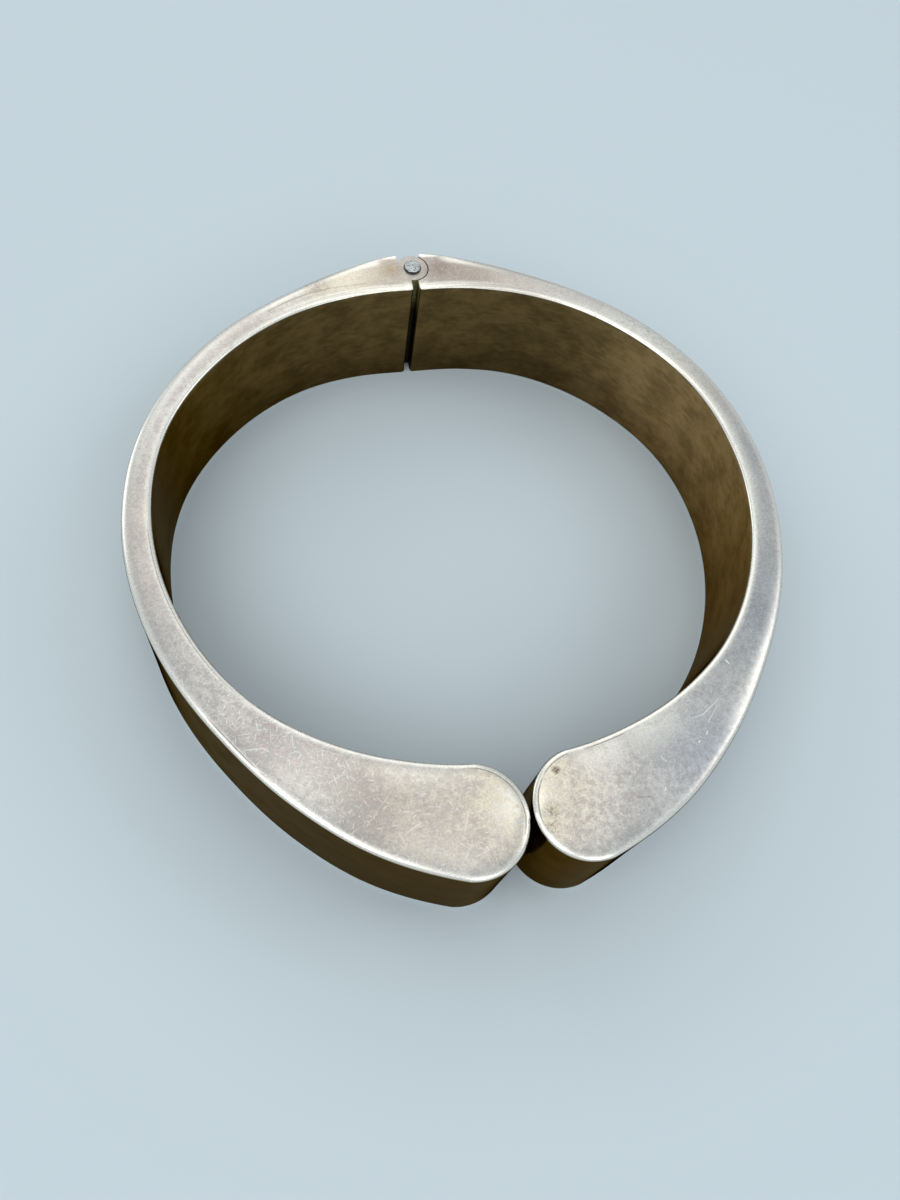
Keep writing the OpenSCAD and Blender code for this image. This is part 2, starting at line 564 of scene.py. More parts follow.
def inward_vectors(loop):
    """For each point of an anticlockwise loop, the way in that keeps both its edges level."""
    inwards = []
    for i, point in enumerate(loop):
        before = (point - loop[i - 1]).normalized()
        after = (loop[(i + 1) % len(loop)] - point).normalized()
        ways = [Vector((-v.y, v.x)) for v in (before, after)]
        way = (ways[0] + ways[1]).normalized()
        inwards.append((way / max(way.dot(ways[0]), SHARPEST_COSINE)).to_3d())
    return inwards


def settle(piece):
    """Makes what the modifiers show the object's own plain mesh, and takes them off."""
    bpy.context.view_layer.update()
    evaluated = piece.evaluated_get(bpy.context.evaluated_depsgraph_get())
    mesh = bpy.data.meshes.new_from_object(evaluated)
    piece.modifiers.clear()
    piece.data = mesh
    return piece


def turned_out(piece):
    """Gives a closed mesh faces that all point outwards."""
    mesh = bmesh.new()
    mesh.from_mesh(piece.data)
    bmesh.ops.recalc_face_normals(mesh, faces=mesh.faces)
    mesh.to_mesh(piece.data)
    mesh.free()
    return piece


def skin(name, loop, profile, material, shares=None, walls=None, capped=True, dents=NO_DENTS):
    """A solid whose outline is loop, drawn in and lifted by the rows of profile."""
    shares = shares or [1.0] * len(loop)
    walls = walls or [0.0] * len(profile)
    piece = row_object(name, [p.to_3d() for p in loop], inwards=inward_vectors(loop), share=shares)
    rows = row_object(name + "_profile", profile, wall=walls)
    tree = bpy.data.node_groups.get(SKIN_TREE) or skin_tree()
    modifier = piece.modifiers.new("skin", "NODES")
    modifier.node_group = tree
    values = {
        "Profile": rows,
        "Capped": capped,
        "Dent depth": dents.depth,
        "Dent size": dents.size,
        "Seed": dents.seed,
        "Material": material,
    }
    for item in tree.interface.items_tree:
        if item.name in values:
            modifier[item.identifier] = values[item.name]
    settle(piece)
    bpy.data.objects.remove(rows)
    return turned_out(piece)


def prism(name, loop, low, high, material):
    """A plain upright block, used as a tool on another piece."""
    return skin(name, loop, [(0, 0, low), (0, 0, high)], material)


def carve(piece, tool, operation):
    """Takes a tool's shape from a piece, or joins it on, and removes the tool."""
    modifier = piece.modifiers.new("carve", "BOOLEAN")
    modifier.operation = operation
    modifier.solver = "EXACT"
    modifier.object = tool
    settle(piece)
    bpy.data.objects.remove(tool)


def mirrored(piece):
    """The same solid on the other side of the bracelet."""
    piece.data.transform(Matrix.Scale(-1, 4, Vector((1, 0, 0))))
    return turned_out(piece)


def finished(piece):
    """Cleans a piece, sets what is smooth and what is sharp, and brings it to metres."""
    mesh = bmesh.new()
    mesh.from_mesh(piece.data)
    bmesh.ops.remove_doubles(mesh, verts=mesh.verts, dist=WELD)
    bmesh.ops.dissolve_degenerate(mesh, edges=mesh.edges, dist=WELD)
    loose = [line for line in mesh.edges if not line.link_faces]
    bmesh.ops.delete(mesh, geom=loose, context="EDGES")
    many_sided = [face for face in mesh.faces if len(face.verts) > 4]
    bmesh.ops.triangulate(mesh, faces=many_sided, ngon_method="BEAUTY")
    bmesh.ops.recalc_face_normals(mesh, faces=mesh.faces)
    for face in mesh.faces:
        face.smooth = True
    for line in mesh.edges:
        line.smooth = line.calc_face_angle(0) < SHARP
    mesh.to_mesh(piece.data)
    mesh.free()
    piece.data.transform(Matrix.Scale(MM, 4))
    piece.data.update()
    return piece


def to_line(point, start, end):
    """How far a point is from a stretch of line."""
    way = end - start
    u = min(max((point - start).dot(way) / way.length_squared, 0), 1)
    return (point - start - way * u).length


def mark_places(piece, loop):
    """Stores on each point of an arm where it lies, for the finish to follow.

    edge is the distance from the outline, down how far the rim has turned from face to wall, inside
    how near the inner wall is, and breadth how wide the face is there on the hinge's half.
    """
    tree = KDTree(len(loop))
    for i, point in enumerate(loop):
        tree.insert(point.to_3d(), i)
    tree.balance()
    columns = {name: [] for name in ("edge", "down", "inside", "breadth")}
    for vertex in piece.data.vertices:
        x, y, z = vertex.co / MM
        point = Vector((abs(x), y))
        _, i, _ = tree.find(point.to_3d())
        before, after = loop[i - 1], loop[(i + 1) % len(loop)]
        nearest = min(to_line(point, before, loop[i]), to_line(point, loop[i], after))
        depth = min(z - ARM_LOW.z, ARM_HIGH.z - z)
        columns["edge"].append(nearest)
        columns["down"].append(min(depth / (RIM[0].drop * rim_share(point)), 1))
        side, half = across(point)
        columns["inside"].append(0.5 - 0.5 * side)
        columns["breadth"].append(2 * half * smooth_step(0, 2, y))
    for name, values in columns.items():
        piece.data.attributes.new(name, "FLOAT", "POINT").data.foreach_set("value", values)


# Finishes


class Surface(Board):
    """A material that is filled from Python, with its places in millimetres."""

    def __init__(self, name):
        self.material = bpy.data.materials.new(name)
        self.material.use_nodes = True
        super().__init__(self.material.node_tree)
        self.tree.nodes.clear()
        self.metres = self.node("ShaderNodeTexCoord", output="Object")
        self.place = self.metres * (1 / MM)
        parts = self.node("ShaderNodeSeparateXYZ", None, {"Vector": self.place})
        self.x, self.y, self.z = parts["X"], parts["Y"], parts["Z"]
        self.flat = self.vector(self.x, self.y, 0.0)

    def cloud(self, size, detail=2.0, roughness=0.5):
        """Cloudy noise through the piece, straight from its own coordinates."""
        return self.noise(self.metres, size * MM, detail, roughness)

    def stored(self, name):
        """A number that the mesh carries on its points."""
        return self.node("ShaderNodeAttribute", {"attribute_name": name}, None, "Fac")

    def most(self, *values):
        """The largest of several values."""
        return self.strongest(values)

    def strongest(self, values):
        """The largest of a row of values, each made only when its turn comes.

        The renderer has room for few values at a time, so no long row is made before it is used.
        """
        return reduce(lambda largest, value: self.maths("MAXIMUM", largest, value), values)

    def distance(self, centre):
        """How far the surface is from an upright line through a point."""
        return self.vector_maths("DISTANCE", self.flat, (centre[0], centre[1], 0))

    def patch(self, centre, radius):
        """1 at a point of the face, fading to 0 at the radius."""
        return self.smooth(self.distance(centre), radius, 0)

    def patches(self, rows):
        """The strongest of several round patches, each as strong as its share says."""
        return self.strongest(self.patch(row.centre, row.radius) * row.share for row in rows)

    def line(self, mark):
        """A straight mark between two points of the face, as strong as its share says."""
        start, end = Vector((*mark.start, 0)), Vector((*mark.end, 0))
        way = end - start
        from_start = self.flat - start
        along = self.vector_maths("DOT_PRODUCT", from_start, way)
        share = self.node("ShaderNodeClamp", None, {"Value": along / way.length_squared})
        off = self.vector_maths("DISTANCE", from_start, share * way)
        return self.smooth(off, mark.width, mark.width * 0.2) * mark.share

    def lines(self, marks):
        """The strongest of several straight marks."""
        return self.strongest(self.line(mark) for mark in marks)

    def cells(self, size):
        """Cells of the face: three chances that each has, and the place within it as X and Y."""
        inputs = {"Vector": self.flat, "Scale": 1 / size}
        cell = self.node("ShaderNodeTexVoronoi", {"voronoi_dimensions": "2D"}, inputs)
        chance = self.node("ShaderNodeSeparateColor", None, {"Color": cell["Color"]})
        place = self.node("ShaderNodeSeparateXYZ", None, {"Vector": self.flat - cell["Position"]})
        return chance, place

    def hairs(self, hair):
        """Short straight scratches, one in a cell, leaning about one direction."""
        chance, place = self.cells(hair.cell)
        angle = math.radians(hair.lean) + (chance["Red"] - 0.5) * math.radians(hair.spread)
        cos, sin = self.maths("COSINE", angle), self.maths("SINE", angle)
        along = place["X"] * cos + place["Y"] * sin
        off = place["Y"] * cos - place["X"] * sin
        ends = self.smooth(abs(along), hair.length, 0)
        line = self.smooth(abs(off), ends * hair.width + 0.01, 0)
        return line * ends * self.smooth(chance["Green"], 0.3, 1) * (0.5 + chance["Blue"] * 0.5)

    def specks(self, size, radius, kept):
        """Small round dots, one in a cell of that size where its chance is good."""
        chance, place = self.cells(size)
        off = place["X"] * place["X"] + place["Y"] * place["Y"]
        return self.smooth(off, radius**2, 0) * self.smooth(chance["Green"], 1 - kept, 1 - kept * 0.8)

    def finish(self, colour, roughness, metallic, height, film=None):
        """Ends the material, with the relief given in millimetres.

        Where film is 1, an amber film darkens the metal, most where it is seen along its surface: partly
        tarnish, partly a painted reflection of dark surroundings.
        """
        bump = {"Height": height, "Distance": MM, "Strength": 1.0}
        inputs = {
            "Base Color": colour,
            "Roughness": roughness,
            "Metallic": metallic,
            "Normal": self.node("ShaderNodeBump", None, bump),
        }
        if film is not None:
            inputs |= {"Coat Weight": film, "Coat IOR": 1.0, "Coat Tint": FILM_TINT}
            inputs["Specular Tint"] = GLANCING_TINT
        shader = self.node("ShaderNodeBsdfPrincipled", None, inputs)
        self.node("ShaderNodeOutputMaterial", None, {"Surface": shader})
        return self.material


# What multiplies a colour: the film on the walls, partly tarnish and partly a painted reflection of dark
# surroundings, their glancing reflections, the painted shade at the foot of every wall, and the painted
# light on the right arm's inner wall, where it faces the light
FILM_TINT = (0.90, 0.87, 0.80)
GLANCING_TINT = (0.50, 0.44, 0.35)
FOOT_SHADE_TINT = (0.70, 0.68, 0.64)
LIT_TINT = (2.4, 2.4, 2.7)

# What the faces show from place to place, partly tarnish and stains and partly painted reflection, light
# and shade: centres and radii in millimetres on the upper face
Tone = namedtuple("Tone", "centre radius tint share")
TONES_AND_REFLECTIONS = [
    Tone((27, -13), 17, (0.67, 0.735, 0.80), 1.0),
    Tone((32, 4), 10, (0.82, 0.87, 0.91), 0.7),
    Tone((10.5, -33.5), 6.5, (0.70, 0.74, 0.78), 0.9),
    Tone((19, -26), 6, (0.82, 0.84, 0.88), 0.8),
    Tone((17, -27), 10, (0.71, 0.77, 0.86), 0.9),
    Tone((-30, 2), 16, (1.0, 0.95, 0.91), 0.8),
    Tone((-28, -9), 9, (0.84, 0.85, 0.87), 0.9),
    Tone((-21, -19), 13, (0.67, 0.675, 0.69), 0.9),
    Tone((-11, -28), 13, (0.66, 0.635, 0.60), 0.95),
    Tone((-17, -27), 7.5, (0.74, 0.75, 0.76), 0.9),
    Tone((0, -28), 10, (1.0, 0.95, 0.78), 0.9),
    Tone((-7, PIN.y - 1.3), 9, (1.0, 0.94, 0.80), 1.0),
    Tone((0, PIN.y - 1), 12, (0.74, 0.73, 0.72), 1.0),
    Tone((-2.4, PIN.y), 1.6, (0.80, 0.66, 0.50), 0.8),
    Tone((2.9, PIN.y - 0.2), 2.0, (0.70, 0.62, 0.56), 0.8),
    Tone((5, PIN.y - 1.2), 6.5, (0.66, 0.60, 0.56), 0.9),
    Tone((11, PIN.y - 2.5), 8, (0.86, 0.82, 0.77), 0.8),
    Tone((26, 17), 14, (1.0, 0.97, 0.88), 0.9),
    Tone((-20, 24), 11, (0.78, 0.76, 0.75), 0.9),
    Tone((21, -17.5), 5, (0.80, 0.82, 0.84), 0.9),
]
Patch = namedtuple("Patch", "centre radius share")
MAUVE = [
    Patch((-21, -20), 9, 1.0),
    Patch((-14, -25), 7, 0.7),
    Patch((-6, -29), 7, 0.7),
    Patch((6, -29), 8, 0.6),
    Patch((4.5, PIN.y - 0.5), 4, 0.9),
    Patch((-27, 18), 9, 0.5),
]
# Soft patches of painted sheen, laid on in the worn silver's colour
SHEEN_PATCHES = [
    Patch((-0.5, -28.5), 5, 0.8),
    Patch((-21, -26), 8, 0.5),
    Patch((-9, -33), 8, 0.15),
    Patch((7, -24), 4.5, 0.9),
    Patch((12.3, -22.3), 5, 0.9),
    Patch((-7.5, 31.5), 4.5, 0.4),
    Patch((-24, 23), 6, 0.2),
    Patch((13, 28.2), 5, 0.3),
    Patch((24, 20), 14, 0.9),
    Patch((0.9, 29.6), 1.2, 1.0),
    Patch((-0.9, 29.6), 1.2, 1.0),
]
# Broad painted highlights along one edge: inside runs from 0 at the outer edge to 1 at the inner one
Band = namedtuple("Band", "centre radius start end share")
SHEEN_BANDS = [
    Band((-26, 16), 20, 0.60, 0.20, 1.0),
    Band((27, -19), 13, 0.42, 0.10, 0.60),
    Band((-9, -25), 8, 0.60, 0.95, 0.40),
]
STAINS = [
    Patch((1.5, -31.0), 1.1, 1.1),
    Patch((1.7, -29.7), 1.3, 1.1),
    Patch((2.9, -26.2), 0.55, 2.2),
    Patch((6.6, -24.7), 1.1, 0.5),
    Patch((-11.0, 30.8), 2.4, 0.6),
    Patch((-20.5, 22.6), 1.3, 0.6),
    Patch((4.0, 32.6), 1.6, 0.3),
]
RINGS = [
    Patch((-30.2, 10.3), 0.40, 0.22),
    Patch((-30.5, 9.4), 0.30, 0.18),
    Patch((-30.9, 7.9), 0.34, 0.20),
]
# Centres and radii of the places where solder shows along the rims, of the face that is scratched most
# and of the rims that are least bright, where their wear and painted highlight are dimmed
SOLDERED = [((-1, -27), 6), ((6, -24.5), 7), ((-27, -22), 7)]
MOST_USED = ((-20, -20), 10)
LEAST_BRIGHT = ((11.5, 27), 9.5)
# Fine scratches all over the faces: one in a cell, leaning about an angle in degrees
Hair = namedtuple("Hair", "cell width length lean spread share")
HAIRS = [
    Hair(1.2, 0.09, 1.0, 125, 120, 0.50),
    Hair(0.6, 0.08, 0.6, 115, 170, 0.60),
    Hair(0.35, 0.06, 0.35, 60, 180, 0.50),
    Hair(2.9, 0.10, 2.8, 30, 80, 0.45),
]
# Single marks between two points
Mark = namedtuple("Mark", "start end width share")
SCRATCHES = [
    Mark((16.5, -23.4), (17.8, -23.2), 0.06, 0.6),
    Mark((17.8, -23.2), (19.7, -22.0), 0.07, 0.7),
    Mark((19.5, -22.5), (18.1, -24.0), 0.06, 0.6),
    Mark((18.4, -20.2), (19.0, -19.5), 0.06, 0.5),
    Mark((21.7, -18.3), (21.9, -18.6), 0.12, 0.9),
    Mark((17.6, -25.1), (17.8, -24.8), 0.09, 0.8),
    Mark((16.7, -25.7), (16.8, -25.6), 0.12, 0.9),
    Mark((12.8, -26.5), (13.1, -27.0), 0.07, 0.6),
    Mark((12.3, -29.5), (12.4, -29.3), 0.10, 0.8),
]
CREASE = [
    Mark((-16.5, 27.6), (-14.0, 28.9), 0.14, 0.5),
    Mark((-14.0, 28.9), (-11.8, 29.7), 0.14, 0.5),
    Mark((-11.8, 29.7), (-9.5, 30.2), 0.12, 0.45),
    Mark((-9.5, 30.2), (-5.5, 30.6), 0.10, 0.35),
    Mark((9.5, -29.7), (10.9, -29.9), 0.07, 0.50),
]


def face_colour(surface, finish, blotch):
    """Satin silver of the faces under its tarnish, with tones from place to place that are partly
    tarnish and stains and partly painted reflection, light and shade.
    """
    cloud = surface.cloud(5.0, 2.0)
    mottled = surface.most(surface.smooth(surface.y, -2, -17), 0.40)
    dull = 0.5 + (surface.smooth(cloud * 0.4 + blotch * 0.6, 0.42, 0.60) - 0.5) * mottled
    colour = surface.blend(dull, finish.face, finish.dull)
    # Tones that are partly tarnish and stains and partly painted reflection, light and shade
    for tone in TONES_AND_REFLECTIONS:
        share = surface.patch(tone.centre, tone.radius) * tone.share
        colour = surface.tinted(colour, tone.tint, share)
    spotted = surface.most(surface.patches(MAUVE), 0.22)
    return surface.blend(spotted * surface.smooth(blotch, 0.43, 0.63), colour, finish.mauve)


def wall_colour(surface, finish, inside):
    """Polished walls, dark with soft cloudy streaks round them, partly tarnish and partly a painted
    reflection of dark surroundings, with painted light on the right arm's inner wall and painted shade
    that makes them darker towards their foot.
    """
    smooth, noise, blend = surface.smooth, surface.noise, surface.blend
    broad = noise(surface.place * (0.6, 0.6, 0.8), 2.2, 4.0, 0.65)
    fine = noise(surface.place * (0.5, 0.5, 1.3), 0.6, 3.0, 0.65)
    streak = smooth(broad * 0.65 + fine * 0.35, 0.34, 0.66)
    inner = blend(streak, finish.inner_streak, finish.inner_wall)
    outer = blend(streak, finish.outer_streak, finish.outer_wall)
    back = blend(streak, finish.back_streak, finish.back_wall)
    # The outer wall goes from dark at the front to lighter silver towards the hinge: the dark front is a
    # painted reflection of dark surroundings
    outer = blend(smooth(surface.y + abs(surface.x) * 0.4, 0, 22), outer, back)
    # Painted light on the right arm's inner wall, where it faces the light
    inner = surface.tinted(inner, LIT_TINT, smooth(surface.x, 16, 29))
    colour = blend(smooth(inside, 0.35, 0.65), outer, inner)
    # Painted shade: every wall is darker towards its foot
    return surface.tinted(colour, FOOT_SHADE_TINT, smooth(surface.z, ARM_LOW.z + 8, ARM_LOW.z))


def worn_and_sheen_places(surface, edge, inside, blotch, from_pin):
    """How far the silver is made bright: along its rims, partly wear and partly painted highlight, and
    in hazy patches and broad bands of painted sheen.
    """
    smooth, most = surface.smooth, surface.most
    rims = most(smooth(surface.y, PIN.y - 1.9, PIN.y - 2.4), smooth(surface.y, PIN.y + 1.3, PIN.y + 1.7))
    away = most(rims, smooth(from_pin, 3.0, 4.5)) * smooth(from_pin, KNUCKLE_R, KNUCKLE_R + 0.4)
    worn_and_sheen = smooth(edge + (blotch - 0.5) * 0.3, 0.85, 0.2) * away
    sheen = surface.patches(SHEEN_PATCHES)
    on_right = smooth(inside, 0.45, 0.85) * smooth(surface.x, 10, 20) * smooth(surface.y, -10, 4)
    by_hinge = smooth(edge, 1.25, 0.55) * smooth(surface.y, 25, 29) * away
    sheen_bands = (surface.patch(b.centre, b.radius) * smooth(inside, b.start, b.end) * b.share for b in SHEEN_BANDS)
    worn_and_sheen = most(worn_and_sheen * 0.9, sheen * smooth(blotch, 0.35, 0.55), on_right * 0.85, by_hinge * 0.75)
    worn_and_sheen = most(worn_and_sheen, surface.strongest(sheen_bands))
    return worn_and_sheen * (1 - surface.patch(*LEAST_BRIGHT) * 0.55)


def scratches(surface):
    """All the bright scratches and specks of the faces, 1 where the metal is laid bare."""
    used = 0.3 + surface.smooth(surface.y, -2, -12) * surface.smooth(surface.x, 12, 4) * 0.6
    used = used + surface.patch(*MOST_USED) * 0.7
    many = surface.strongest(surface.hairs(hair) * hair.share for hair in HAIRS) * used
    marks = surface.lines(SCRATCHES)
    return surface.most(many, surface.specks(1.1, 0.10, 0.35) * 0.4, marks)


def stains(surface, crumb):
    """Brown stains that break up into crumbs, and small dark pits."""
    stain = surface.patches(STAINS)
    pits = surface.specks(3.1, 0.10, 0.35) * (0.15 + surface.smooth(surface.y, -5, 10) * 0.4)
    return surface.most(stain * (0.15 + crumb * 0.85), pits)


def seams(surface, edge, inside):
    """Thin dark lines: the solder round the face plates, rings, and the crease by the hinge."""
    smooth = surface.smooth
    broken = smooth(surface.cloud(3.0, 2.0), 0.42, 0.54)
    ends = [surface.patch(*place) for place in SOLDERED]
    at_ends = smooth(abs(edge - 0.50), 0.09, 0.02) * smooth(surface.strongest(ends), 0, 0.4) * broken
    along_left = smooth(abs(edge - 0.36), 0.08, 0.02) * smooth(inside, 0.6, 0.7)
    along_left = along_left * smooth(surface.x, 0, -5)
    along_left = along_left * smooth(surface.y, 4, 1) * smooth(surface.y, -17, -12)
    by_hinge = smooth(abs(edge - 0.60), 0.10, 0.02) * smooth(inside, 0.5, 0.6)
    by_hinge = by_hinge * smooth(surface.y, 27.5, 29) * smooth(abs(surface.x), 0.8, 1.6)
    rings = (smooth(abs(surface.distance(r.centre) - r.radius), 0.12, 0.03) * r.share for r in RINGS)
    lines = surface.most(at_ends * 0.85, along_left * 0.6, by_hinge * 0.3)
    lines = surface.most(lines, surface.strongest(rings))
    return surface.most(lines, surface.lines(CREASE))


def hinge_shade(surface, wall, face, from_pin):
    """Painted shade in the slot, round the middle knuckle and round the pin, and the part in the slot
    alone.
    """
    smooth, most = surface.smooth, surface.most
    at_hinge = smooth(surface.y, PIN.y - 3.4, PIN.y - 3.1)
    in_slot = smooth(abs(surface.x), SLOT_X + 0.06, SLOT_X + 0.02) * at_hinge
    below_knuckle = smooth(surface.y, PIN.y - KNUCKLE_R + 0.05, PIN.y - KNUCKLE_R)
    slot = in_slot * most(wall, below_knuckle) * smooth(surface.y, PIN.y, PIN.y - 0.4)
    barrel = smooth(from_pin, SOCKET_R, KNUCKLE_R + 0.02) * smooth(surface.y, PIN.y - 0.2, PIN.y + 0.9)
    socket = smooth(from_pin, SOCKET_R + 0.1, SOCKET_R + 0.02) * wall * at_hinge * (1 - barrel * 0.93)
    ring = smooth(abs(from_pin - HEAD_R - 0.03), 0.12, 0.02) * face
    return most(slot, socket, ring * 0.6), slot


def old_silver(finish):
    """Satin faces with bright rims that are partly wear and partly painted highlight, polished dark
    walls that are partly tarnish and partly painted reflection, scratches, stains, and painted shade at
    the hinge.
    """
    surface = Surface("old_silver")
    smooth, cloud, blend, most = surface.smooth, surface.cloud, surface.blend, surface.most
    edge, inside, down = (surface.stored(name) for name in ("edge", "inside", "down"))
    edge = most(edge, (0.5 - abs(inside - 0.5)) * surface.stored("breadth"))
    wall = smooth(down, 0.50, 0.85)
    face = 1 - wall
    blotch = cloud(0.62, 5.0, 0.70)
    grain = cloud(0.17, 3.0, 0.75)

    colour = face_colour(surface, finish, blotch)
    from_pin = surface.distance(PIN)
    worn_and_sheen = worn_and_sheen_places(surface, edge, inside, blotch, from_pin)
    # Bright rims, partly wear and partly painted highlight, and patches and bands of painted sheen
    colour = blend(worn_and_sheen, colour, finish.worn_and_sheen)
    shade = 1 + (grain - 0.5) * (1.0 - worn_and_sheen * 0.6)
    colour = surface.tinted(colour, surface.vector(shade, shade, shade), 1.0)
    scratched = scratches(surface) * face
    colour = blend(scratched, colour, finish.bare)
    crumb = smooth(cloud(0.13, 2.0, 0.6) * 0.7 + blotch * 0.3, 0.43, 0.67)
    stain = stains(surface, crumb) * face
    colour = blend(stain, colour, finish.stain)
    line = seams(surface, edge, inside) * face
    colour = blend(line, colour, finish.seam)
    colour = blend(wall, colour, wall_colour(surface, finish, inside))
    # Painted shade in the slot and the hinge's recesses and round the pin, with a real verdigris crust
    # at the top of the slot
    recess_shade, slot = hinge_shade(surface, wall, face, from_pin)
    crust = smooth(surface.z, ARM_HIGH.z - 5, ARM_HIGH.z - 2) * slot
    crusted = blend(crumb, finish.verdigris, finish.verdigris_pale)
    colour = blend(recess_shade, colour, blend(crust, finish.recess_shade, crusted))

    rough_face = 0.35 + (blotch - 0.5) * 0.2 + (grain - 0.5) * 0.2 - worn_and_sheen * 0.08
    rough_wall = 0.12 + smooth(cloud(3.0, 2.0), 0.4, 0.7) * 0.10
    roughness = rough_face * face + rough_wall * wall + stain * 0.2 + recess_shade * 0.4
    relief = (grain - 0.5) * (0.008 - worn_and_sheen * 0.006) + (cloud(6.0, 1.0) - 0.5) * 0.12
    waves = (cloud(3.5, 1.0) - 0.5) * 0.03
    height = relief * face + waves * wall - scratched * 0.006 - line * 0.015
    return surface.finish(colour, roughness, 1 - recess_shade * 0.95, height, wall)


def rivet_metal(finish):
    """Grey rivet metal with hammer marks and dark specks, and painted shade round its foot, on the
    head's upright side.
    """
    surface = Surface("rivet_metal")
    speck = surface.cloud(0.22, 3.0, 0.65)
    hammer = surface.cloud(0.45, 1.0)
    low = surface.smooth(surface.z, HEAD_SIDE_TOP + 0.03, HEAD_SIDE_TOP - 0.05)
    share = surface.smooth(speck, 0.45, 0.62)
    colour = surface.blend(share, finish.rivet, finish.rivet_speck)
    # Painted shade on the head's upright side and below it
    colour = surface.blend(low * 0.85, colour, finish.recess_shade)
    roughness = 0.32 + (speck - 0.5) * 0.3 + low * 0.2
    height = (hammer - 0.5) * 0.10 + (speck - 0.5) * 0.04
    return surface.finish(colour, roughness, 0.95, height)


def pale_floor(finish):
    """A plain pale surface with a very slight unevenness of tone."""
    surface = Surface("pale_floor")
    cloud = surface.cloud(120.0, 2.0)
    darker = [c * 0.97 for c in finish.floor]
    colour = surface.blend(cloud, finish.floor, darker)
    return surface.finish(colour, 0.75, 0.0, 0.0)


# What a user would change


def colour_property(name, description, default):
    return bpy.props.FloatVectorProperty(
        name=name, description=description, default=default, size=3, min=0, max=1, subtype="COLOR"
    )


def length_property(name, description, default, **limits):
    return bpy.props.FloatProperty(
        name=name, description=description, default=default, precision=5, unit="LENGTH", **limits
    )


def angle_property(name, description, degrees):
    default = math.radians(degrees)
    return bpy.props.FloatProperty(name=name, description=description, default=default, subtype="ANGLE")


class CuffShape(bpy.types.PropertyGroup):
    """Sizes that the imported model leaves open."""

    dent_depth: length_property(
        "Dent depth", "How deep the shallow dents in the walls are", 0.03 * MM, min=0, max=0.2 * MM
    )
    dent_size: length_property(
        "Dent size", "How wide the shallow dents in the walls are", 7 * MM, min=1 * MM
    )


class CuffFinish(bpy.types.PropertyGroup):
    """Colours of the metals, of their wear and of the floor, and of the painted shade, highlights and
    reflections on the metal.
    """

    face: colour_property("Face", "Satin silver of the faces", (0.80, 0.76, 0.70))
    dull: colour_property("Dull silver", "Silver under a thin grey tarnish", (0.60, 0.575, 0.55))
    mauve: colour_property("Mauve tarnish", "Blotches of pinkish tarnish", (0.54, 0.45, 0.43))
    # Colour of rims that are partly worn and partly painted highlight, and of painted sheen
    worn_and_sheen: colour_property("Worn silver", "Silver rubbed bright on the rims", (1.0, 0.975, 0.89))
    bare: colour_property("Bare silver", "Silver laid bare by scratches", (1.0, 0.99, 0.96))
    seam: colour_property("Seam", "Fine dark lines in the faces", (0.30, 0.26, 0.21))
    stain: colour_property("Stain", "Brown specks in the faces", (0.22, 0.16, 0.09))
    # The walls' dark colours and streaks are partly tarnish and partly a painted reflection of dark
    # surroundings, lighter towards the hinge
    outer_wall: colour_property("Outer wall", "Polished outer wall", (0.20, 0.13, 0.06))
    outer_streak: colour_property("Outer wall streaks", "Darker outer wall", (0.12, 0.075, 0.034))
    back_wall: colour_property("Back wall", "Outer wall towards the hinge", (0.50, 0.46, 0.405))
    back_streak: colour_property("Back wall streaks", "Duller outer wall", (0.36, 0.32, 0.265))
    inner_wall: colour_property("Inner wall", "Polished inner wall", (0.225, 0.152, 0.066))
    inner_streak: colour_property("Inner wall streaks", "Darker inner wall", (0.120, 0.080, 0.034))
    # Near-black painted shade in the slot, round the knuckle and pin, and on the pin's side
    recess_shade: colour_property("Grime", "Dirt in the slot and round the pin", (0.012, 0.010, 0.007))
    verdigris: colour_property("Verdigris", "Crust at the top of the slot", (0.15, 0.15, 0.055))
    verdigris_pale: colour_property("Pale verdigris", "Paler crumbs of crust", (0.50, 0.52, 0.30))
    rivet: colour_property("Rivet", "Metal of the hinge pin", (0.64, 0.67, 0.66))
    rivet_speck: colour_property("Rivet specks", "Dark specks of the pin", (0.25, 0.27, 0.28))
    floor: colour_property("Floor", "The plain floor", (0.65, 0.745, 0.79))


class CuffStage(bpy.types.PropertyGroup):
    """The camera and the light."""

    focal: bpy.props.FloatProperty(
        name="Focal length",
        description="Lens of a camera whose picture is 36 mm high",
        default=30.0,
        min=1,
        subtype="DISTANCE_CAMERA",
    )
    camera_place: bpy.props.FloatVectorProperty(
        name="Camera",
        description="Where the camera stands",
        default=(-20.64 * MM, -46.77 * MM, 99.21 * MM),
        size=3,
        precision=4,
        subtype="TRANSLATION",
        unit="LENGTH",
    )
    dip: angle_property("Dip", "How far the camera looks down", 63.70)
    turn: angle_property("Turn", "How far the camera looks to the right of the hinge's direction", 24.30)
    roll: angle_property("Roll", "How far the camera is tipped about its own line of sight", -15.15)
    sky: bpy.props.FloatProperty(
        name="Fill light", description="Strength of the even light from all round", default=0.60, min=0
    )
    key: bpy.props.FloatProperty(
        name="Lamp strength", description="Strength of all the soft lamps together", default=1.0, min=0
    )


# Pieces


def marked(lower, wall, upper):
    """A profile's rows, and for each row 1 where the skin is a wall that shows dents."""
    return lower + wall + upper, [0.0] * len(lower) + [1.0] * len(wall) + [0.0] * len(upper)


def arm_rows():
    """The rows of an arm's profile, from the middle of its lower face to that of its upper face."""
    low, high = ARM_LOW.z, ARM_HIGH.z
    lower = [(r.inset, r.drop, low) for r in reversed(RIM)]
    upper = [(r.inset, -r.drop, high) for r in RIM]
    span = CUFF_H - 2 * WALL_MARGIN
    wall = [(0, 0, low + WALL_MARGIN + span * i / (WALL_ROWS - 1)) for i in range(WALL_ROWS)]
    return marked(lower, wall, upper)


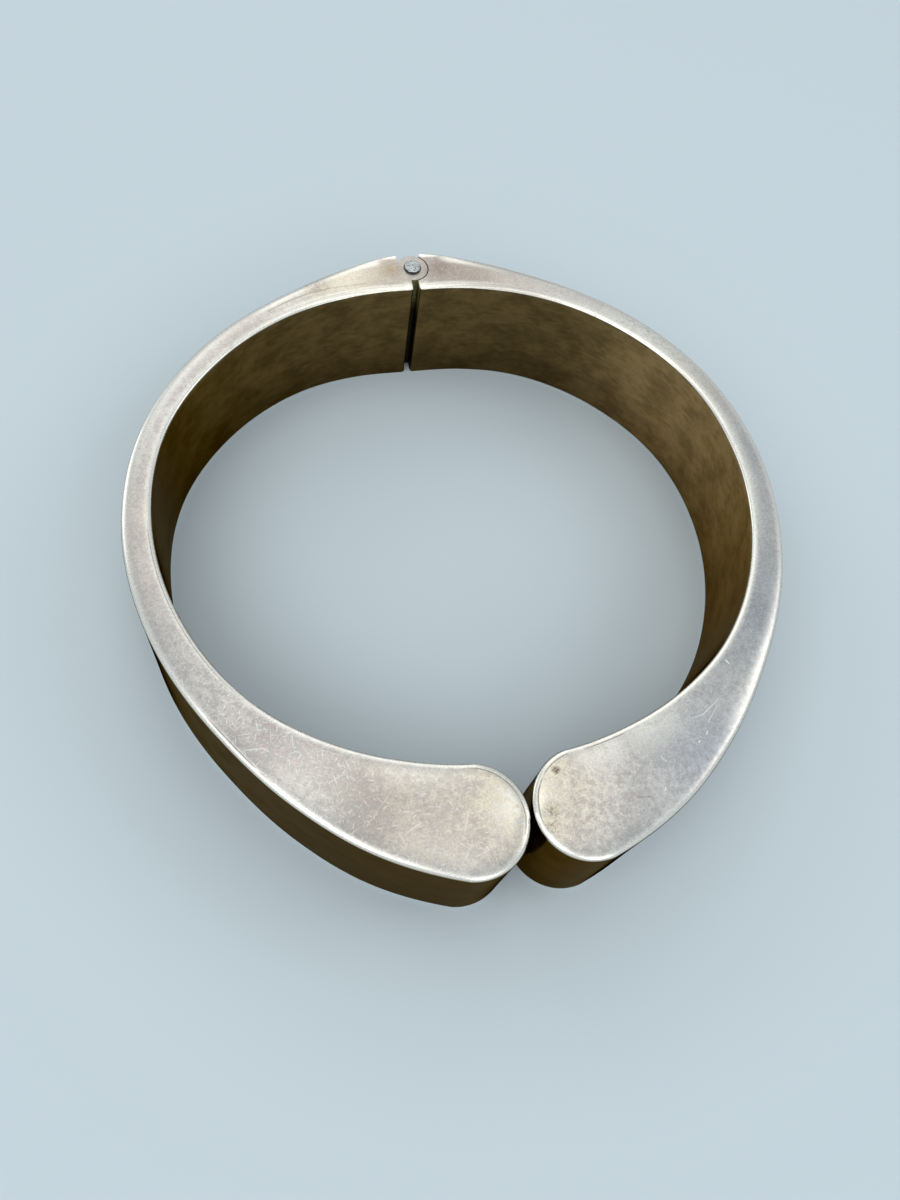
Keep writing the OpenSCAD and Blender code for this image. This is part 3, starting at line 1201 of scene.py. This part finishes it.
def arm_skin(name, own_knuckle, shape, material, seed):
    """One arm before its hinge is cut, with the outline that it has at the top."""
    loop = arm_outline(own_knuckle)
    rows, walls = arm_rows()
    shares = [rim_share(p) for p in loop]
    dents = Dents(shape.dent_depth / MM, shape.dent_size / MM, seed)
    return skin(name, loop, rows, material, shares, walls, dents=dents), loop


def knuckle_levels(clear):
    """Where the middle knuckle begins and ends, moved apart by clear at each end."""
    outer = CUFF_H * (1 - MIDDLE_SHARE) / 2
    return ARM_LOW.z + outer - clear, ARM_HIGH.z - outer + clear


def cut_bore(piece, radius, material):
    """Cuts the pin's bore right through an arm."""
    low, high = ARM_LOW.z - PAST, ARM_HIGH.z + PAST
    carve(piece, prism("bore", circle(radius, BORE_STEPS), low, high, material), "DIFFERENCE")


def left_arm(shape, material):
    """The arm with the upper and lower knuckles, and room for the middle one."""
    piece, loop = arm_skin("left_arm_silver", True, shape, material, seed=2.0)
    low, high = knuckle_levels(-KNUCKLE_GAP / 2)
    carve(piece, prism("lip", lip_outline(), low, high, material), "UNION")
    low, high = knuckle_levels(KNUCKLE_GAP / 2)
    carve(piece, prism("socket", circle(SOCKET_R), low, high, material), "DIFFERENCE")
    cut_bore(piece, HELD_R, material)
    return finished(mirrored(piece)), loop


def right_arm(shape, material):
    """The arm with the middle knuckle, and room for the other two."""
    piece, loop = arm_skin("right_arm_silver", False, shape, material, seed=7.0)
    low, high = knuckle_levels(KNUCKLE_GAP / 2)
    back = box_outline(-PAST, SHOULDER_X, PIN.y, PIN.y + 2 * KNUCKLE_R)
    carve(piece, prism("shoulder", back, low, high, material), "DIFFERENCE")
    low, high = knuckle_levels(-KNUCKLE_GAP / 2)
    carve(piece, prism("web", web_outline(), low, high, material), "UNION")
    carve(piece, prism("knuckle", circle(KNUCKLE_R), low, high, material), "UNION")
    cut_bore(piece, RUNNING_R, material)
    return finished(piece), loop


# The pin: a bevel at its foot, then the head's small bevel, upright side, rounded edge and flat dome
FOOT_BEVEL = 0.1
HEAD_BEVEL = 0.04
HEAD_FOOT = ARM_HIGH.z + 0.02
HEAD_SIDE_TOP = PIN_HIGH.z - 0.13
HEAD_ROUND = 0.06
DOME_ROWS = 8
PIN_STEPS = 72
HAMMERED = Dents(0.05, 0.5, 4.0)


def pin(material):
    """The pin, flush below and hammered over above into a low head."""
    neck, low = HEAD_R - SHANK_R, PIN_LOW.z
    shank = [(HEAD_R, 0, low), (neck + FOOT_BEVEL, 0, low), (neck, 0, low + FOOT_BEVEL)]
    shank += [(neck, 0, HEAD_FOOT), (HEAD_BEVEL, 0, HEAD_FOOT)]
    side = [(0, 0, HEAD_FOOT + HEAD_BEVEL), (0, 0, HEAD_SIDE_TOP)]
    for turn in map(math.radians, (30, 60, 90)):
        side.append((HEAD_ROUND * (1 - math.cos(turn)), 0, HEAD_SIDE_TOP + HEAD_ROUND * math.sin(turn)))
    dome_low = HEAD_SIDE_TOP + HEAD_ROUND
    dome_h = PIN_HIGH.z - HEAD_SIDE_TOP - HEAD_ROUND
    dome = []
    for i in range(1, DOME_ROWS + 1):
        share = i / DOME_ROWS
        inset = HEAD_ROUND + (HEAD_R - HEAD_ROUND) * share
        dome.append((inset, 0, dome_low + dome_h * (1 - (1 - share) ** 2)))
    rows, walls = marked(shank, side, dome)
    loop = circle(HEAD_R, PIN_STEPS)
    piece = skin("hinge_rivet", loop, rows, material, walls=walls, capped=False, dents=HAMMERED)
    return finished(piece)


class CUFF_OT_arms(bpy.types.Operator):
    """Build both silver arms with their half of the hinge"""

    bl_idname = "cuff.make_arms"
    bl_label = "Make the arms"

    def execute(self, context):
        shape = context.scene.cuff_shape
        material = old_silver(context.scene.cuff_finish)
        arms = ((left_arm, "left_arm", "left_half"), (right_arm, "right_arm", "right_half"))
        for build, body, node in arms:
            piece, loop = build(shape, material)
            mark_places(piece, loop)
            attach(piece, body)
            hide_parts(node)
        return {"FINISHED"}


class CUFF_OT_pin(bpy.types.Operator):
    """Build the riveted pin of the hinge"""

    bl_idname = "cuff.make_pin"
    bl_label = "Make the pin"

    def execute(self, context):
        piece = pin(rivet_metal(context.scene.cuff_finish))
        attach(piece, "left_arm")
        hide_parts("hinge_pin")
        return {"FINISHED"}


# Soft lamps round the bracelet: turn from the hinge's direction towards +X and height, in degrees,
# then distance and width in metres, brightness, and colour
Lamp = namedtuple("Lamp", "name turn height away width bright colour")
SOFT_WHITE = (1.0, 0.98, 0.94)
LAMPS = [
    Lamp("over_ends", 20, 80, 0.60, 0.30, 1.0, (1.0, 0.96, 0.86)),
    Lamp("behind_hinge", 5, 43, 0.70, 0.38, 0.88, (1.0, 0.96, 0.88)),
    Lamp("left", -46, 30, 0.70, 0.30, 1.15, SOFT_WHITE),
    Lamp("right", 92, 43, 0.70, 0.30, 1.5, SOFT_WHITE),
    Lamp("front", 167, 40, 0.70, 0.36, 1.7, SOFT_WHITE),
    Lamp("left_front", -125, 54, 0.70, 0.48, 1.5, SOFT_WHITE),
]
SKY_COLOUR = (0.86, 0.93, 1.0, 1)

# How far the floor runs each way and between which distances the camera sees, in metres, and the
# height of the camera's picture in millimetres
FLOOR_REACH = 1.5
NEAREST, FURTHEST = 0.005, 10
PICTURE_H = 36


class CUFF_OT_stage(bpy.types.Operator):
    """Build the pale floor, the soft light and the camera"""

    bl_idname = "cuff.make_stage"
    bl_label = "Make the stage"

    def execute(self, context):
        stage = context.scene.cuff_stage
        self.make_floor(context)
        self.make_camera(context, stage)
        for lamp in LAMPS:
            self.make_lamp(context, stage, lamp)
        world = bpy.data.worlds.new("even_light")
        world.use_nodes = True
        background = world.node_tree.nodes["Background"]
        background.inputs["Color"].default_value = SKY_COLOUR
        background.inputs["Strength"].default_value = stage.sky
        context.scene.world = world
        context.scene.view_settings.view_transform = "Standard"
        return {"FINISHED"}

    def make_floor(self, context):
        near, far = -FLOOR_REACH, FLOOR_REACH
        mesh = bpy.data.meshes.new("floor")
        corners = [(near, near, 0), (far, near, 0), (far, far, 0), (near, far, 0)]
        mesh.from_pydata(corners, [], [(0, 1, 2, 3)])
        mesh.materials.append(pale_floor(context.scene.cuff_finish))
        floor = bpy.data.objects.new("floor", mesh)
        context.scene.collection.objects.link(floor)

    def make_camera(self, context, stage):
        data = bpy.data.cameras.new("camera")
        data.sensor_width = PICTURE_H
        data.lens = stage.focal
        data.clip_start, data.clip_end = NEAREST, FURTHEST
        camera = bpy.data.objects.new("camera", data)
        context.scene.collection.objects.link(camera)
        flat = Vector((math.sin(stage.turn), math.cos(stage.turn), 0))
        sight = flat * math.cos(stage.dip) - Vector((0, 0, math.sin(stage.dip)))
        right = sight.cross(Vector((0, 0, 1))).normalized()
        right.rotate(Matrix.Rotation(stage.roll, 3, sight))
        up = right.cross(sight)
        turned = Matrix((right, up, -sight)).transposed().to_4x4()
        camera.matrix_world = Matrix.Translation(stage.camera_place) @ turned
        context.scene.camera = camera

    def make_lamp(self, context, stage, lamp):
        data = bpy.data.lights.new(lamp.name, "AREA")
        data.shape = "DISK"
        data.size = lamp.width
        area = math.pi * (lamp.width / 2) ** 2
        data.energy = lamp.bright * stage.key * math.pi * area
        data.color = lamp.colour
        turn, height = math.radians(lamp.turn), math.radians(lamp.height)
        level = math.cos(height)
        way = Vector((math.sin(turn) * level, math.cos(turn) * level, math.sin(height)))
        piece = bpy.data.objects.new(lamp.name, data)
        piece.location = way * lamp.away
        piece.rotation_mode = "QUATERNION"
        piece.rotation_quaternion = way.to_track_quat("Z", "Y")
        context.scene.collection.objects.link(piece)


class CUFF_PT_panel(bpy.types.Panel):
    """Lists what can be built and changed"""

    bl_idname = "CUFF_PT_panel"
    bl_label = "Hinged silver cuff"
    bl_space_type = "VIEW_3D"
    bl_region_type = "UI"
    bl_category = "Cuff"

    def draw(self, context):
        for group in (context.scene.cuff_shape, context.scene.cuff_finish, context.scene.cuff_stage):
            box = self.layout.box()
            for name in group.__annotations__:
                box.prop(group, name)
        for operator in (CUFF_OT_arms, CUFF_OT_pin, CUFF_OT_stage):
            self.layout.operator(operator.bl_idname)


GROUPS = {"cuff_shape": CuffShape, "cuff_finish": CuffFinish, "cuff_stage": CuffStage}
CLASSES = (*GROUPS.values(), CUFF_OT_arms, CUFF_OT_pin, CUFF_OT_stage, CUFF_PT_panel)


def register():
    for item in CLASSES:
        bpy.utils.register_class(item)
    for name, group in GROUPS.items():
        setattr(bpy.types.Scene, name, bpy.props.PointerProperty(type=group))


def unregister():
    for name in GROUPS:
        delattr(bpy.types.Scene, name)
    for item in reversed(CLASSES):
        bpy.utils.unregister_class(item)


def main():
    register()
    for make in (bpy.ops.cuff.make_arms, bpy.ops.cuff.make_pin, bpy.ops.cuff.make_stage):
        make()


if __name__ == "__main__":
    main()
